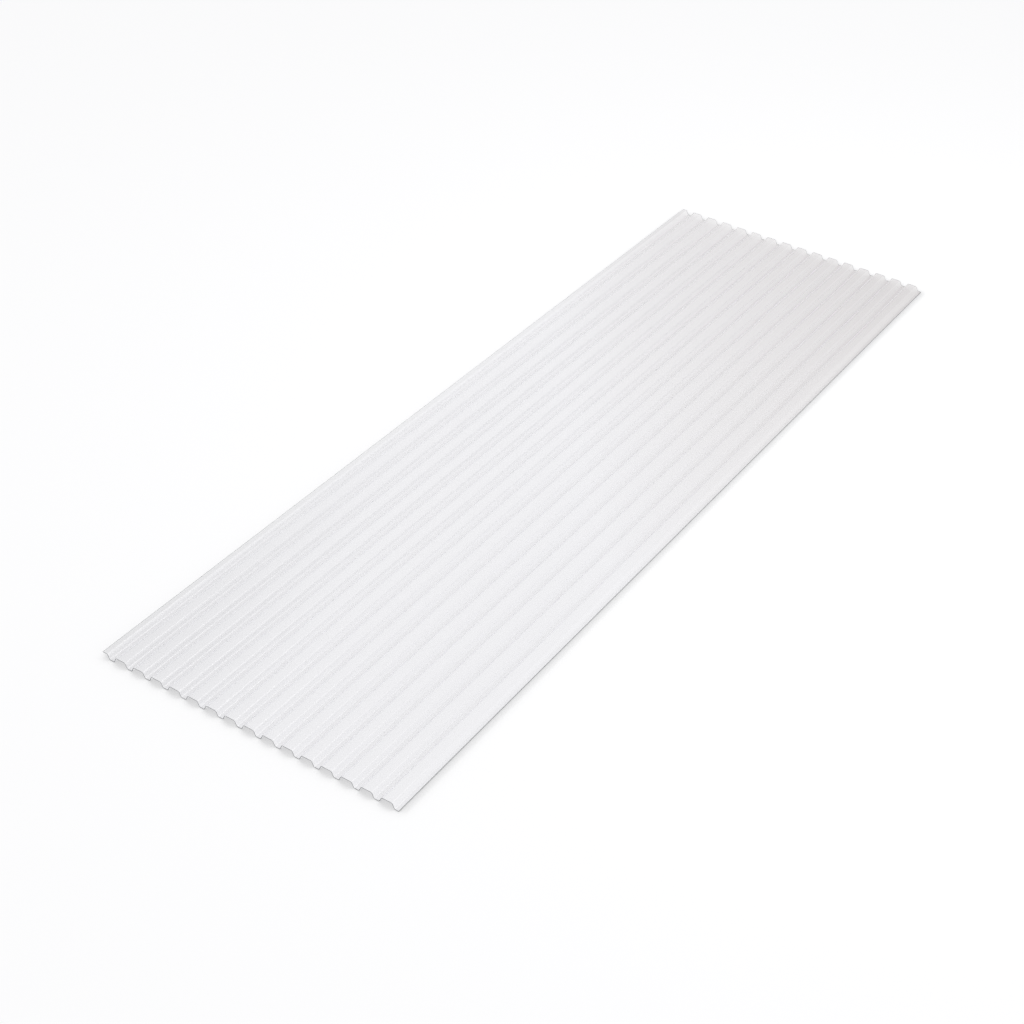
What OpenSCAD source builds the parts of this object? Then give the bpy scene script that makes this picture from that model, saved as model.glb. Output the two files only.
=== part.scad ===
// Corrugated acrylic roofing sheet, lying flat with its crests upwards.
// X runs across the waves, Y along them and Z up.
// The origin is below the middle of the sheet, on the surface that it lies on.
// The left edge ends on a crest and the right edge in a trough, so that the crest covers
// the next sheet's last wave where two sheets overlap.

/* [Sheet] */
// Length of the sheet, along its waves
sheet_l = 3500; // [500:50:6000]
// Thickness of the sheet
sheet_t = 2; // [1:0.1:4]

/* [Waves] */
// Distance from one crest to the next
pitch = 70; // [60:1:100]
// Height of a crest above a trough, measured on the same face
wave_depth = 18; // [8:1:30]
// Whole crests between the edges, not counting the half crest on the left edge
whole_crests = 15; // [2:1:24]
// Width of a crest, measured half way down its flanks
crest_w = 44; // [28:1:48]
// Width that one flank takes up, from level to level
flank_w = 8; // [4:1:12]
// Radius on the inside of each bend
bend_r = 5; // [1:0.5:7]
// Chords that round each bend
bend_steps = 6; // [2:1:12]

/* [Edges] */
// How far the left edge is cut inside the middle of its crest
crest_edge_in = 0; // [-10:1:12]
// How far the right edge runs past the middle of its trough
trough_edge_out = 5; // [-6:1:10]

/* [Hidden] */

sheet_w = (whole_crests + 1 / 2) * pitch - crest_edge_in + trough_edge_out;
sheet_h = wave_depth + sheet_t;

// Middle of the crest that the left edge ends on
first_crest_x = -sheet_w / 2 - crest_edge_in;

// Slope of the flanks, and the radius of a bend at the middle of the thickness
flank_angle = atan(wave_depth / flank_w);
mid_r = bend_r + sheet_t / 2;

// How far a bend reaches along the level part before the corner that it rounds
bend_reach = mid_r * tan(flank_angle / 2);

// Half widths of the level parts of a crest and a trough
crest_flat = (crest_w - flank_w) / 2 - bend_reach;
trough_flat = (pitch - crest_w - flank_w) / 2 - bend_reach;

// Heights of the centres that the bends turn about
crest_bend_z = wave_depth + sheet_t / 2 - mid_r;
trough_bend_z = sheet_t / 2 + mid_r;

// Points of an arc, from left to right
function arc(centre, r, from, to) = [
    for (i = [0 : bend_steps])
        let (a = from + (to - from) * i / bend_steps)
        centre + r * [cos(a), sin(a)]
];

// One face of one wave, from its crest's left bend to the far bend of the trough after it.
// side is 1 for the upper face and -1 for the lower one.
function wave_face(x, side) =
    let (
        crest_r = mid_r + side * sheet_t / 2,
        trough_r = mid_r - side * sheet_t / 2,
        trough_x = x + pitch / 2
    )
    concat(
        arc([x - crest_flat, crest_bend_z], crest_r, 90 + flank_angle, 90),
        arc([x + crest_flat, crest_bend_z], crest_r, 90, 90 - flank_angle),
        arc([trough_x - trough_flat, trough_bend_z], trough_r, 270 - flank_angle, 270),
        arc([trough_x + trough_flat, trough_bend_z], trough_r, 270, 270 + flank_angle)
    );

// One face of the waves, carried on past the right edge by a wave that the section cuts off
function sheet_face(side) = [
    for (i = [0 : whole_crests + 1])
        each wave_face(first_crest_x + i * pitch, side)
];

function reversed(points) = [for (i = [len(points) - 1 : -1 : 0]) points[i]];

// The waves' section, cut to the sheet's width
module section() {
    intersection() {
        polygon(concat(sheet_face(1), reversed(sheet_face(-1))));
        translate([-sheet_w / 2, 0])
            square([sheet_w, sheet_h]);
    }
}

module corrugated_sheet() {
    color([0.91, 0.92, 0.94])
        rotate([90, 0, 0])
            linear_extrude(height = sheet_l, center = true)
                section();
}

corrugated_sheet();
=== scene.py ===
# Dresses the corrugated acrylic sheet: the drawn sheet itself, its clear plastic and sawn edges,
# and a plain pale studio, seen from high up beyond its near right corner.
# Metres throughout, X across the waves, Y along them, Z up, the sheet lying on Z = 0.
import math

import bmesh
import bpy
from mathutils import Matrix, Vector, noise


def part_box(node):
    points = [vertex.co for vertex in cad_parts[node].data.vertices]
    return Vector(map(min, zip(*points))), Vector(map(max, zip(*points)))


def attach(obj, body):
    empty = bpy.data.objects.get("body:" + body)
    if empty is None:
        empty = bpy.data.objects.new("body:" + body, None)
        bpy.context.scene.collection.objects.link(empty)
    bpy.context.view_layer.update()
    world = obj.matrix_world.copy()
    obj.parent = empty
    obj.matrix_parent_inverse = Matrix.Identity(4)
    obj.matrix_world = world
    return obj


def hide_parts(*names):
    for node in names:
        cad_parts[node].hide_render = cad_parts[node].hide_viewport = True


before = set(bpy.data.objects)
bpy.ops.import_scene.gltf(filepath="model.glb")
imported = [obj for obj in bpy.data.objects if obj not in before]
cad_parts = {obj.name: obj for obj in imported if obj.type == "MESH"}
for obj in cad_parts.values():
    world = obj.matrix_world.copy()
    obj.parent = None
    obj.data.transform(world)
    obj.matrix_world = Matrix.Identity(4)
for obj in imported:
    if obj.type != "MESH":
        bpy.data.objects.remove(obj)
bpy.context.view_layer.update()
LOW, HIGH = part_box("corrugated_sheet")

# ---------------------------------------------------------------- the sheet's section

PITCH = 0.070
THICK = 0.002
CREST_W = 0.044
FLANK_W = 0.008
BEND_R = 0.005
CREST_EDGE_IN = 0.0
BEND_STEPS = 12
EASE = 0.00018  # how far the sawn edges are eased
HOLD = 0.0012  # how near to a bend a level stretch is held flat
DEPTH = (HIGH.z - LOW.z) - THICK
WAVES = 16

slope = math.atan2(DEPTH, FLANK_W)
mid_r = BEND_R + THICK / 2
reach = mid_r * math.tan(slope / 2)
crest_flat = (CREST_W - FLANK_W) / 2 - reach
trough_flat = (PITCH - CREST_W - FLANK_W) / 2 - reach
crest_z = LOW.z + DEPTH + THICK / 2
trough_z = LOW.z + THICK / 2
first_crest = LOW.x - CREST_EDGE_IN


def bend(x, z, start, end, upper):
    """Points at the middle of the thickness round a bend about (x, z), each with its normal."""
    points = []
    for i in range(BEND_STEPS + 1):
        a = start + (end - start) * i / BEND_STEPS
        out = Vector((math.cos(a), math.sin(a)))
        points.append((Vector((x, z)) + out * mid_r, out if upper else -out))
    return points


def middle_line():
    """The middle of the thickness, from the left edge to the right edge.

    Level stretches are held flat up to their bends.
    """
    up = Vector((0, 1))
    quarter, turn = math.pi / 2, math.pi
    line = [(Vector((LOW.x, crest_z)), up)]
    for i in range(WAVES):
        x = first_crest + i * PITCH
        if i:
            line += [(Vector((x - crest_flat + HOLD, crest_z)), up)]
            line += [(Vector((x, crest_z)), up)]
        line += [(Vector((x + crest_flat - HOLD, crest_z)), up)]
        line += bend(x + crest_flat, crest_z - mid_r, quarter, quarter - slope, True)
        x += PITCH / 2
        low_z = trough_z + mid_r
        line += bend(x - trough_flat, low_z, turn + quarter - slope, turn + quarter, False)
        line += [(Vector((x - trough_flat + HOLD, trough_z)), up)]
        if i == WAVES - 1:
            break
        line += [(Vector((x + trough_flat - HOLD, trough_z)), up)]
        line += bend(x + trough_flat, low_z, turn + quarter, turn + quarter + slope, False)
        x += PITCH / 2
        line += bend(x - crest_flat, crest_z - mid_r, quarter + slope, quarter, True)
    line += [(Vector((HIGH.x, trough_z)), up)]
    return line


# ---------------------------------------------------------------- the sheet

RINGS = 32
SAG = 0.0005  # the most that a crest's underside is lowered; its top, by a ninth more
# the swells: how close together across and along the sheet, where in the noise, and their share
SWELLS = ((5.0, 1.3, 3.7, 1.0), (14.0, 2.1, 9.2, 0.5))
SWELL_RISE = 0.35
CREASE = 25  # degrees between faces above which an edge stays sharp


def sunk(x, y):
    """Share of its height that the sheet keeps at a point, for long shallow swells."""
    swell = sum(share * noise.noise(Vector((x * across, y * along, cut)))
                for across, along, cut, share in SWELLS)
    return 1 - (SAG / DEPTH) * min(1.0, max(0.0, SWELL_RISE + swell))


def sheet_mesh():
    line = middle_line()
    mesh = bpy.data.meshes.new("acrylic_sheet")
    bm = bmesh.new()
    lengths = [LOW.y + (HIGH.y - LOW.y) * i / (RINGS - 1) for i in range(RINGS)]
    lengths = [LOW.y, LOW.y + EASE] + lengths[1:-1] + [HIGH.y - EASE, HIGH.y]
    rings = []
    for k, y in enumerate(lengths):
        half = THICK / 2 - (EASE if k in (0, len(lengths) - 1) else 0)
        ring = []
        for side in (1, -1):
            run = line if side > 0 else line[::-1]
            for j, (p, n) in enumerate(run):
                q = p + n * half * side
                z = LOW.z + (q.y - LOW.z) * sunk(q.x, y)
                if j in (0, len(run) - 1):
                    # the long edges are eased too: a point on the face and one on the sawn edge
                    inward = EASE if q.x < 0 else -EASE
                    face = bm.verts.new((q.x + inward, y, z))
                    edge = bm.verts.new((q.x, y, z - side * EASE))
                    ring += [edge, face] if j == 0 else [face, edge]
                else:
                    ring.append(bm.verts.new((q.x, y, z)))
        rings.append(ring)
    count = len(rings[0])
    # points 0..top-1 are the upper face, left to right, then the lower face back again
    top = count // 2
    for a, b in zip(rings, rings[1:]):
        ends = a is rings[0] or b is rings[-1]
        for i in range(count):
            j = (i + 1) % count
            face = bm.faces.new((a[i], a[j], b[j], b[i]))
            face.smooth = True
            sawn = ends or i in (0, top - 2, top - 1, top, count - 2, count - 1)
            face.material_index = 1 if sawn else 0
    for ring in (rings[0], rings[-1]):
        for i in range(top - 1):
            quad = (ring[i], ring[i + 1], ring[count - 2 - i], ring[count - 1 - i])
            face = bm.faces.new(quad if ring is rings[-1] else quad[::-1])
            face.material_index = 1
    bmesh.ops.recalc_face_normals(bm, faces=bm.faces)
    for e in bm.edges:
        if len(e.link_faces) == 2 and e.calc_face_angle(0) > math.radians(CREASE):
            e.smooth = False
    bm.to_mesh(mesh)
    bm.free()
    return mesh


sheet = bpy.data.objects.new("acrylic_sheet", sheet_mesh())
bpy.context.scene.collection.objects.link(sheet)
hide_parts("corrugated_sheet")
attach(sheet, "root")

# ---------------------------------------------------------------- materials


class Nodes:
    """A material's node tree, with short ways to add and join nodes."""

    def __init__(self, name):
        self.material = bpy.data.materials.new(name)
        self.material.use_nodes = True
        self.tree = self.material.node_tree
        self.tree.nodes.clear()
        self.out = self.tree.nodes.new("ShaderNodeOutputMaterial")

    def add(self, kind, **settings):
        node = self.tree.nodes.new("ShaderNode" + kind)
        for key, value in settings.items():
            setattr(node, key, value)
        return node

    def join(self, source, target):
        self.tree.links.new(source, target)

    def sum(self, operation, a, b):
        node = self.add("Math", operation=operation)
        for socket, value in zip(node.inputs, (a, b)):
            if isinstance(value, (int, float)):
                socket.default_value = value
            else:
                self.join(value, socket)
        return node.outputs[0]

    def noise(self, scale, stretch, detail=2.0, rough=0.5):
        """Noise in the object's own metres, stretched by its three scales."""
        place = self.add("TexCoord")
        mapping = self.add("Mapping")
        mapping.inputs["Scale"].default_value = stretch
        self.join(place.outputs["Object"], mapping.inputs["Vector"])
        texture = self.add("TexNoise")
        texture.inputs["Scale"].default_value = scale
        texture.inputs["Detail"].default_value = detail
        texture.inputs["Roughness"].default_value = rough
        self.join(mapping.outputs[0], texture.inputs["Vector"])
        return texture.outputs["Fac"]

    def ramp(self, value, low, high, to_low, to_high):
        node = self.add("MapRange")
        self.join(value, node.inputs["Value"])
        names = ("From Min", "From Max", "To Min", "To Max")
        for name, number in zip(names, (low, high, to_low, to_high)):
            node.inputs[name].default_value = number
        return node.outputs["Result"]


ACRYLIC_IOR = 1.49
PLASTIC = (0.99, 0.99, 1.0, 1)
LINES, LINE_DEPTH = (90.0, 2.2, 90.0), 0.00012  # fine lines along the waves
LINE_GLOSS = (0.03, 0.09)
# what a lamp keeps of its light through the sheet, met squarely and met aslant
LAMP_SQUARE, LAMP_ASLANT = (0.87, 0.868, 0.872, 1), (0.82, 0.82, 0.825, 1)
LONG_PATH = 8.5  # surfaces after which a ray passes straight out
SAW_MARKS = (60.0, 900.0, 900.0)
# the sawn edges' greys are painted shade: their darkness stands in for the dark look that light
# turned back inside a clear sheet gives its cut edges, and the saw marks vary it
SAWN_SHADE_DARK, SAWN_SHADE_PALE = (0.20, 0.205, 0.215, 1), (0.36, 0.37, 0.385, 1)


def clear_acrylic():
    n = Nodes("clear_acrylic")
    glass = n.add("BsdfPrincipled")
    glass.inputs["Base Color"].default_value = PLASTIC
    glass.inputs["Transmission Weight"].default_value = 1.0
    glass.inputs["IOR"].default_value = ACRYLIC_IOR
    drawn = n.noise(1.0, LINES, 3.0, 0.55)
    n.join(n.ramp(drawn, 0.3, 0.7, *LINE_GLOSS), glass.inputs["Roughness"])
    bump = n.add("Bump")
    bump.inputs["Strength"].default_value = 1.0
    bump.inputs["Distance"].default_value = LINE_DEPTH
    n.join(drawn, bump.inputs["Height"])
    n.join(bump.outputs[0], glass.inputs["Normal"])
    # lamps shine through to the floor, less where they meet the face aslant
    clear = n.add("BsdfTransparent")
    slant = n.add("LayerWeight")
    slant.inputs["Blend"].default_value = 0.5
    steep = n.sum("POWER", slant.outputs["Facing"], 3.0)
    through = n.add("Mix", data_type="RGBA")
    n.join(steep, through.inputs[0])
    through.inputs[6].default_value = LAMP_SQUARE
    through.inputs[7].default_value = LAMP_ASLANT
    n.join(through.outputs[2], clear.inputs["Color"])
    path = n.add("LightPath")
    # shortcuts, not the plastic: rays that left a dull surface, and rays that have met many
    # surfaces, pass straight through
    inner = n.add("MixShader")
    trapped = n.sum("GREATER_THAN", path.outputs["Ray Depth"], LONG_PATH)
    n.join(n.sum("MAXIMUM", path.outputs["Is Diffuse Ray"], trapped), inner.inputs[0])
    n.join(glass.outputs[0], inner.inputs[1])
    n.join(clear.outputs[0], inner.inputs[2])
    outer = n.add("MixShader")
    n.join(path.outputs["Is Shadow Ray"], outer.inputs[0])
    n.join(inner.outputs[0], outer.inputs[1])
    n.join(clear.outputs[0], outer.inputs[2])
    n.join(outer.outputs[0], n.out.inputs["Surface"])
    return n.material


def sawn_edge_and_shade():
    n = Nodes("sawn_edge_painted_shade")
    cut = n.add("BsdfPrincipled")
    grain = n.noise(1.0, SAW_MARKS, 3.0, 0.6)
    # painted shade on the cut edge: a dark grey, lighter and darker along the saw marks
    saw_marks_and_shade = n.add("ValToRGB")
    saw_marks_and_shade.color_ramp.elements[0].position = 0.35
    saw_marks_and_shade.color_ramp.elements[0].color = SAWN_SHADE_DARK
    saw_marks_and_shade.color_ramp.elements[1].position = 0.7
    saw_marks_and_shade.color_ramp.elements[1].color = SAWN_SHADE_PALE
    n.join(grain, saw_marks_and_shade.inputs[0])
    n.join(saw_marks_and_shade.outputs[0], cut.inputs["Base Color"])
    n.join(n.ramp(grain, 0.3, 0.7, 0.35, 0.6), cut.inputs["Roughness"])
    cut.inputs["IOR"].default_value = ACRYLIC_IOR
    n.join(cut.outputs[0], n.out.inputs["Surface"])
    return n.material


sheet.data.materials.append(clear_acrylic())
sheet.data.materials.append(sawn_edge_and_shade())

# ---------------------------------------------------------------- studio


FLOOR_SIZE, FLOOR_DROP, FLOOR_PAINT = 30, 0.0004, 0.8
FLOOR_GLOW = 0.36
# seen through the sheet: the glow at the near left and at the far right, and their tinges
GLASS_GLOW = (0.402, 0.235)
NEAR_TINGE, FALL_TINGE = (0.98, 0.98, 1.0, 1), (1.0, 0.93, 0.89, 1)
FALL_WAY, FALL_OFF = (1.2, 1.0, 0.0), (0.05, 2.35)
# and how much dimmer it is past the left and far edges, and at the near left corner
PAST, PAST_DIM = 0.006, (0.13, 0.06)
CORNER_WAY, CORNER = (-1.0, -0.35, 0.0), (0.55, 1.15, 0.0, 0.06)
# the soft shade on the floor: its reach, the least light that it leaves, and its lean
SHADE_REACH, SHADE_LEAST, SHADE_LEAN = 0.042, 0.78, (-0.8, -0.3, 1.0)
SHADE_RAYS = 4  # each meets the sheet or not, so their number sets the shade's look too
# the darker shade beside the right edge: how far inside it starts, how far outside it holds
# and how far outside it ends, and the least light that it leaves
RIGHT_IN, RIGHT_NEAR, RIGHT_OUT, RIGHT_LEAST = 0.01, 0.003, 0.024, 0.56


def floor():
    bm = bmesh.new()
    bmesh.ops.create_grid(bm, x_segments=1, y_segments=1, size=FLOOR_SIZE)
    mesh = bpy.data.meshes.new("floor")
    bm.to_mesh(mesh)
    bm.free()
    obj = bpy.data.objects.new("floor", mesh)
    obj.location.z = LOW.z - FLOOR_DROP
    bpy.context.scene.collection.objects.link(obj)
    n = Nodes("pale_floor")
    path = n.add("LightPath")
    # to the camera the floor darkens softly close to the sheet
    close = n.add("AmbientOcclusion")
    close.samples = SHADE_RAYS
    close.inputs["Distance"].default_value = SHADE_REACH
    lean = n.add("CombineXYZ")
    for socket, value in zip(lean.inputs, SHADE_LEAN):
        socket.default_value = value
    n.join(lean.outputs[0], close.inputs["Normal"])
    # beside the right edge it darkens more
    place = n.add("TexCoord")
    apart = n.add("SeparateXYZ")
    n.join(place.outputs["Object"], apart.inputs[0])
    across = apart.outputs["X"]
    before = n.ramp(across, HIGH.x - RIGHT_IN, HIGH.x, SHADE_LEAST, RIGHT_LEAST)
    after = n.ramp(across, HIGH.x + RIGHT_NEAR, HIGH.x + RIGHT_OUT, RIGHT_LEAST, SHADE_LEAST)
    open_share = n.sum("MAXIMUM", close.outputs["AO"], n.sum("MAXIMUM", before, after))
    shade = n.add("MapRange")
    n.join(path.outputs["Is Camera Ray"], shade.inputs["Value"])
    shade.inputs["To Min"].default_value = 1.0
    n.join(open_share, shade.inputs["To Max"])
    tone = n.sum("MULTIPLY", shade.outputs["Result"], FLOOR_PAINT)
    grey = n.add("CombineColor")
    for socket in grey.inputs:
        n.join(tone, socket)
    paint = n.add("BsdfDiffuse")
    n.join(grey.outputs[0], paint.inputs["Color"])
    # seen through the sheet the floor falls off towards the far right
    far = n.add("VectorMath", operation="DOT_PRODUCT")
    far.inputs[1].default_value = FALL_WAY
    n.join(place.outputs["Object"], far.inputs[0])
    under = n.ramp(far.outputs["Value"], *FALL_OFF, *GLASS_GLOW)
    past_left = n.ramp(across, LOW.x + PAST, LOW.x - PAST, 0.0, PAST_DIM[0])
    past_far = n.ramp(apart.outputs["Y"], HIGH.y - PAST, HIGH.y + PAST, 0.0, PAST_DIM[1])
    under = n.sum("SUBTRACT", under, n.sum("MAXIMUM", past_left, past_far))
    corner = n.add("VectorMath", operation="DOT_PRODUCT")
    corner.inputs[1].default_value = CORNER_WAY
    n.join(place.outputs["Object"], corner.inputs[0])
    under = n.sum("SUBTRACT", under, n.ramp(corner.outputs["Value"], *CORNER))
    bent = n.sum("MAXIMUM", path.outputs["Is Glossy Ray"], path.outputs["Is Transmission Ray"])
    shaded_glow = n.sum("MULTIPLY", open_share, FLOOR_GLOW)
    outside = n.sum("MULTIPLY", path.outputs["Is Camera Ray"], shaded_glow)
    glow = n.add("Emission")
    tinge = n.add("Mix", data_type="RGBA")
    fallen = n.ramp(far.outputs["Value"], *FALL_OFF, 0.0, 1.0)
    n.join(n.sum("MULTIPLY", bent, fallen), tinge.inputs[0])
    tinge.inputs[6].default_value = NEAR_TINGE
    tinge.inputs[7].default_value = FALL_TINGE
    n.join(tinge.outputs[2], glow.inputs["Color"])
    n.join(n.sum("ADD", outside, n.sum("MULTIPLY", bent, under)), glow.inputs["Strength"])
    both = n.add("AddShader")
    n.join(paint.outputs[0], both.inputs[0])
    n.join(glow.outputs[0], both.inputs[1])
    side = n.add("NewGeometry")
    from_below = n.add("MixShader")  # nothing of the floor shows from underneath
    n.join(side.outputs["Backfacing"], from_below.inputs[0])
    n.join(both.outputs[0], from_below.inputs[1])
    n.join(n.add("BsdfTransparent").outputs[0], from_below.inputs[2])
    n.join(from_below.outputs[0], n.out.inputs["Surface"])
    obj.data.materials.append(n.material)


floor()


SKY_WAY, OVERHEAD_WAY = (-0.713, 0.0, 0.667), (0.4, 0.0, 0.917)
# how bright the studio is in reflections, by how nearly a ray goes along SKY_WAY. In the
# photo's view the level faces mirror place 0.84 at the near left, 0.77 at the near right,
# 0.67 in the middle, 0.59 at the far left and 0.52 at the far right, dimmest and pinkest there
SKY = (
    (0.0, (0.9, 0.9, 0.9)), (0.48, (0.9, 0.88, 0.89)),
    (0.53, (0.68, 0.65, 0.66)), (0.6, (0.8, 0.79, 0.79)),
    (0.67, (0.9, 0.9, 0.9)), (0.75, (0.95, 0.95, 0.95)),
    (0.83, (0.8, 0.8, 0.8)), (1.0, (0.9, 0.9, 0.9)),
)
# a bright ring in reflections, 24 to 40 degrees round OVERHEAD_WAY, which leans 24 degrees to
# the right of straight up; in the photo's view the near bends' right sides mirror it most
BLACK, WHITE = (0.0, 0.0, 0.0), (1.0, 1.0, 1.0)
OVERHEAD = ((0.0, BLACK), (0.765, BLACK), (0.85, WHITE), (0.87, WHITE), (0.91, BLACK))
OVERHEAD_GAIN = 1.6
DOME = 0.736


def graded(tree, stops):
    """A colour ramp with these (place, colour) stops, eased from one to the next."""
    node = tree.nodes.new("ShaderNodeValToRGB")
    node.color_ramp.interpolation = "EASE"
    while len(node.color_ramp.elements) < len(stops):
        node.color_ramp.elements.new(0.5)
    for element, (place, colour) in zip(node.color_ramp.elements, stops):
        element.position = place
        element.color = (*colour, 1)
    return node


def studio_world():
    """White all round for the camera, an even dome for diffuse light, and graded in reflections."""
    world = bpy.data.worlds.new("studio")
    bpy.context.scene.world = world
    world.use_nodes = True
    tree = world.node_tree
    tree.nodes.clear()
    add, join = tree.nodes.new, tree.links.new
    place = add("ShaderNodeTexCoord")
    slant = add("ShaderNodeVectorMath")  # how far up and to the left
    slant.operation = "DOT_PRODUCT"
    slant.inputs[1].default_value = SKY_WAY
    join(place.outputs["Generated"], slant.inputs[0])
    top = add("ShaderNodeVectorMath")
    top.operation = "DOT_PRODUCT"
    top.inputs[1].default_value = OVERHEAD_WAY
    join(place.outputs["Generated"], top.inputs[0])
    band = graded(tree, OVERHEAD)
    join(top.outputs["Value"], band.inputs[0])
    sky = graded(tree, SKY)
    join(slant.outputs["Value"], sky.inputs[0])
    path = add("ShaderNodeLightPath")
    level = add("ShaderNodeMapRange")  # diffuse light comes from an even, dimmer dome
    level.inputs["To Min"].default_value = DOME
    level.inputs["To Max"].default_value = 1.0
    seen = add("ShaderNodeMath")
    seen.operation = "MAXIMUM"
    join(path.outputs["Is Camera Ray"], seen.inputs[0])
    join(path.outputs["Is Transmission Ray"], seen.inputs[1])
    join(seen.outputs[0], level.inputs["Value"])
    plain = add("ShaderNodeBackground")
    plain.inputs["Color"].default_value = (1, 1, 1, 1)
    join(level.outputs["Result"], plain.inputs["Strength"])
    mirrored = add("ShaderNodeBackground")
    join(sky.outputs[0], mirrored.inputs["Color"])
    whole = add("ShaderNodeMath")
    whole.operation = "MULTIPLY_ADD"
    join(band.outputs[0], whole.inputs[0])
    whole.inputs[1].default_value = OVERHEAD_GAIN
    whole.inputs[2].default_value = 1.0
    join(whole.outputs[0], mirrored.inputs["Strength"])
    mix = add("ShaderNodeMixShader")
    join(path.outputs["Is Glossy Ray"], mix.inputs[0])
    join(plain.outputs[0], mix.inputs[1])
    join(mirrored.outputs[0], mix.inputs[2])
    out = add("ShaderNodeOutputWorld")
    join(mix.outputs[0], out.inputs["Surface"])


studio_world()


def softbox(name, place, aim, width, height, power):
    data = bpy.data.lights.new(name, "AREA")
    data.shape = "RECTANGLE"
    data.size, data.size_y = width, height
    data.energy = power
    obj = bpy.data.objects.new(name, data)
    bpy.context.scene.collection.objects.link(obj)
    obj.location = place
    obj.rotation_euler = (Vector(aim) - Vector(place)).to_track_quat("-Z", "Y").to_euler()
    # it lights the floor, and the sheet doesn't mirror it on either face
    obj.visible_glossy = False
    obj.visible_transmission = False
    return obj


LAMP_PLACE, LAMP_AIM, LAMP_SIDE, LAMP_POWER = (1.4, 1.4, 4.0), (0.3, -0.8, 0), 1.4, 24
softbox("top_softbox", LAMP_PLACE, LAMP_AIM, LAMP_SIDE, LAMP_SIDE, LAMP_POWER)

# ---------------------------------------------------------------- camera

AZIMUTH, ELEVATION, ROLL = 32.106, 36.877, 2.567
DISTANCE, AIM, LENS, SENSOR = 6.2977, Vector((0.0390, -0.4301, 0.0)), 66.72, 36
CLIP = (0.05, 200)


def camera():
    a, e, r = (math.radians(v) for v in (AZIMUTH, ELEVATION, ROLL))
    level = math.cos(e)
    back_way = Vector((math.sin(a) * level, -math.cos(a) * level, math.sin(e)))
    right = Vector((math.cos(a), math.sin(a), 0))
    up = back_way.cross(right)
    rolled_right = right * math.cos(r) + up * math.sin(r)
    rolled_up = up * math.cos(r) - right * math.sin(r)
    turn = Matrix((rolled_right, rolled_up, back_way)).transposed()
    data = bpy.data.cameras.new("camera")
    data.lens, data.sensor_width = LENS, SENSOR
    data.clip_start, data.clip_end = CLIP
    obj = bpy.data.objects.new("camera", data)
    obj.matrix_world = Matrix.Translation(AIM + back_way * DISTANCE) @ turn.to_4x4()
    bpy.context.scene.collection.objects.link(obj)
    bpy.context.scene.camera = obj


camera()
bpy.context.scene.view_settings.view_transform = "Standard"
# light runs a long way inside a clear sheet; cut short, the bends turn dark
LONG, SHORT = 32, 12
paths = bpy.context.scene.cycles
paths.max_bounces = paths.transmission_bounces = paths.transparent_max_bounces = LONG
paths.glossy_bounces = SHORT
